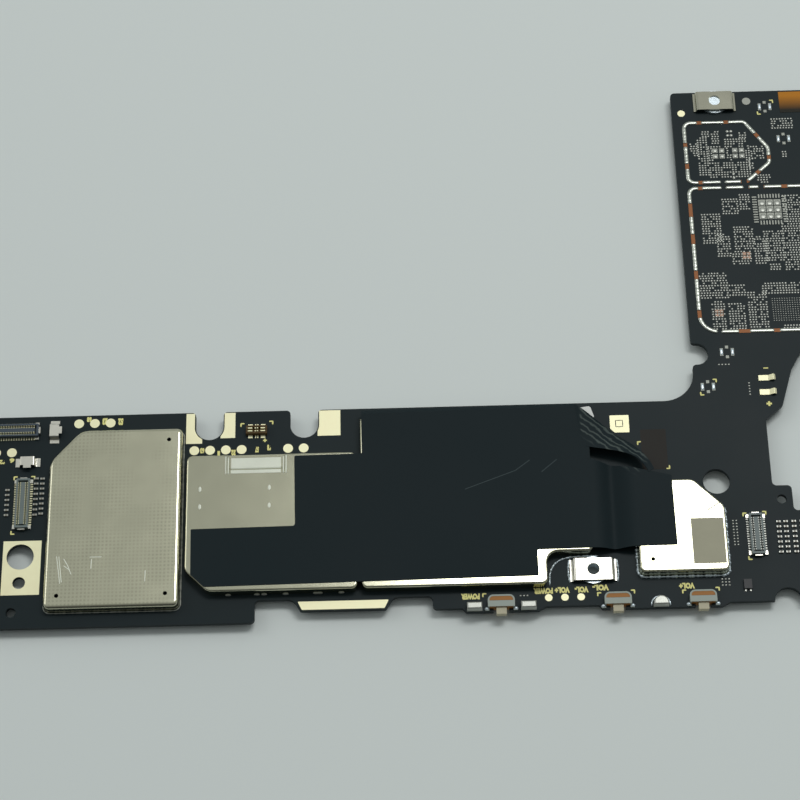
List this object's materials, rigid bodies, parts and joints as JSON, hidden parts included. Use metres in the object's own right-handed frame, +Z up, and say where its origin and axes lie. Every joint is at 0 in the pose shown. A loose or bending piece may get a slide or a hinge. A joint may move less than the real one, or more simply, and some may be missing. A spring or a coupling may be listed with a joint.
{
  "type": "tablet motherboard",
  "caption": "L-shaped tablet motherboard with drawn shield cans, black heat tape, board connectors, nut brackets and pressing side keys.",
  "frame": {"origin": "axis of the left screw hole, on the underside of the board", "axes": "+X along the strip towards the arm, +Y from the side keys to the far edge, +Z up through the components"},
  "size_m": [0.1442, 0.0934, 0.0043],
  "materials": {
    "solder_mask": "near-black satin solder mask over glass-epoxy laminate",
    "gold_plating": "pale immersion gold over nickel",
    "nickel_silver": "rolled nickel silver, satin",
    "solder": "bright tin solder",
    "tin_plate": "tin-plated sheet",
    "spring_steel": "stainless spring steel",
    "graphite_tape": "black satin film over graphite",
    "liner_paper": "white release liner",
    "absorber": "matte grey absorber sheet",
    "thermal_gel": "soft grey thermal pad",
    "black_moulding": "black moulded plastic",
    "brown_moulding": "brown phenolic moulding",
    "beige_moulding": "beige moulded plastic",
    "ceramic_chip": "fired ceramic with tinned ends",
    "polyimide": "amber polyimide film",
    "copper": "bare copper"
  },
  "bodies": {
    "board": {"circuit_board": "solder_mask", "earth_lands": "gold_plating", "test_pads": "gold_plating", "shield_can_left": "nickel_silver", "shield_can_middle": "nickel_silver", "shield_can_main": "nickel_silver", "shield_can_right": "nickel_silver", "can_solder": "solder", "heat_tape": "graphite_tape", "tape_liner": "liner_paper", "absorber_pad": "absorber", "screw_inserts": "tin_plate", "key_domes": "spring_steel", "edge_stops": "tin_plate", "speaker_springs": "gold_plating", "hall_sensor": "black_moulding", "chip_parts": "ceramic_chip", "chip_ends": "solder", "under_can_left": "nickel_silver", "under_can_right": "nickel_silver", "under_can_arm": "nickel_silver", "tinned_lands": "solder", "film_patch": "polyimide", "nut_bracket_lower": "tin_plate", "nut_bracket_upper": "tin_plate", "display_connector_housing": "black_moulding", "camera_connector_housing": "black_moulding", "audio_connector_housing": "black_moulding", "display_connector_contacts": "gold_plating", "camera_connector_contacts": "gold_plating", "audio_connector_contacts": "gold_plating", "display_connector_tabs": "tin_plate", "camera_connector_tabs": "tin_plate", "audio_connector_tabs": "tin_plate", "battery_connector_body": "black_moulding", "battery_connector_blades": "gold_plating", "antenna_spring_upper": "tin_plate", "antenna_spring_lower": "tin_plate", "arm_track_upper": "copper", "arm_track_lower": "copper", "processor": "black_moulding", "storage_chip": "black_moulding", "power_chip": "black_moulding", "modem_chip": "black_moulding", "radio_chip": "black_moulding", "memory_stack": "black_moulding", "thermal_pad": "thermal_gel", "power_key_frame": "tin_plate", "power_key_body": "brown_moulding", "volume_down_key_frame": "tin_plate", "volume_down_key_body": "brown_moulding", "volume_up_key_frame": "tin_plate", "volume_up_key_body": "brown_moulding"},
    "power_key": {"power_key_plunger": "beige_moulding"},
    "volume_down_key": {"volume_down_key_plunger": "beige_moulding"},
    "volume_up_key": {"volume_up_key_plunger": "beige_moulding"}
  },
  "joints": [
    {"name": "power_press", "type": "slide", "parent": "board", "child": "power_key", "axis": [0, 1, 0], "range_m": [0, 0.0002], "stiffness_N_per_m": 4000},
    {"name": "volume_down_press", "type": "slide", "parent": "board", "child": "volume_down_key", "axis": [0, 1, 0], "range_m": [0, 0.0002], "stiffness_N_per_m": 4000},
    {"name": "volume_up_press", "type": "slide", "parent": "board", "child": "volume_up_key", "axis": [0, 1, 0], "range_m": [0, 0.0002], "stiffness_N_per_m": 4000}
  ]
}
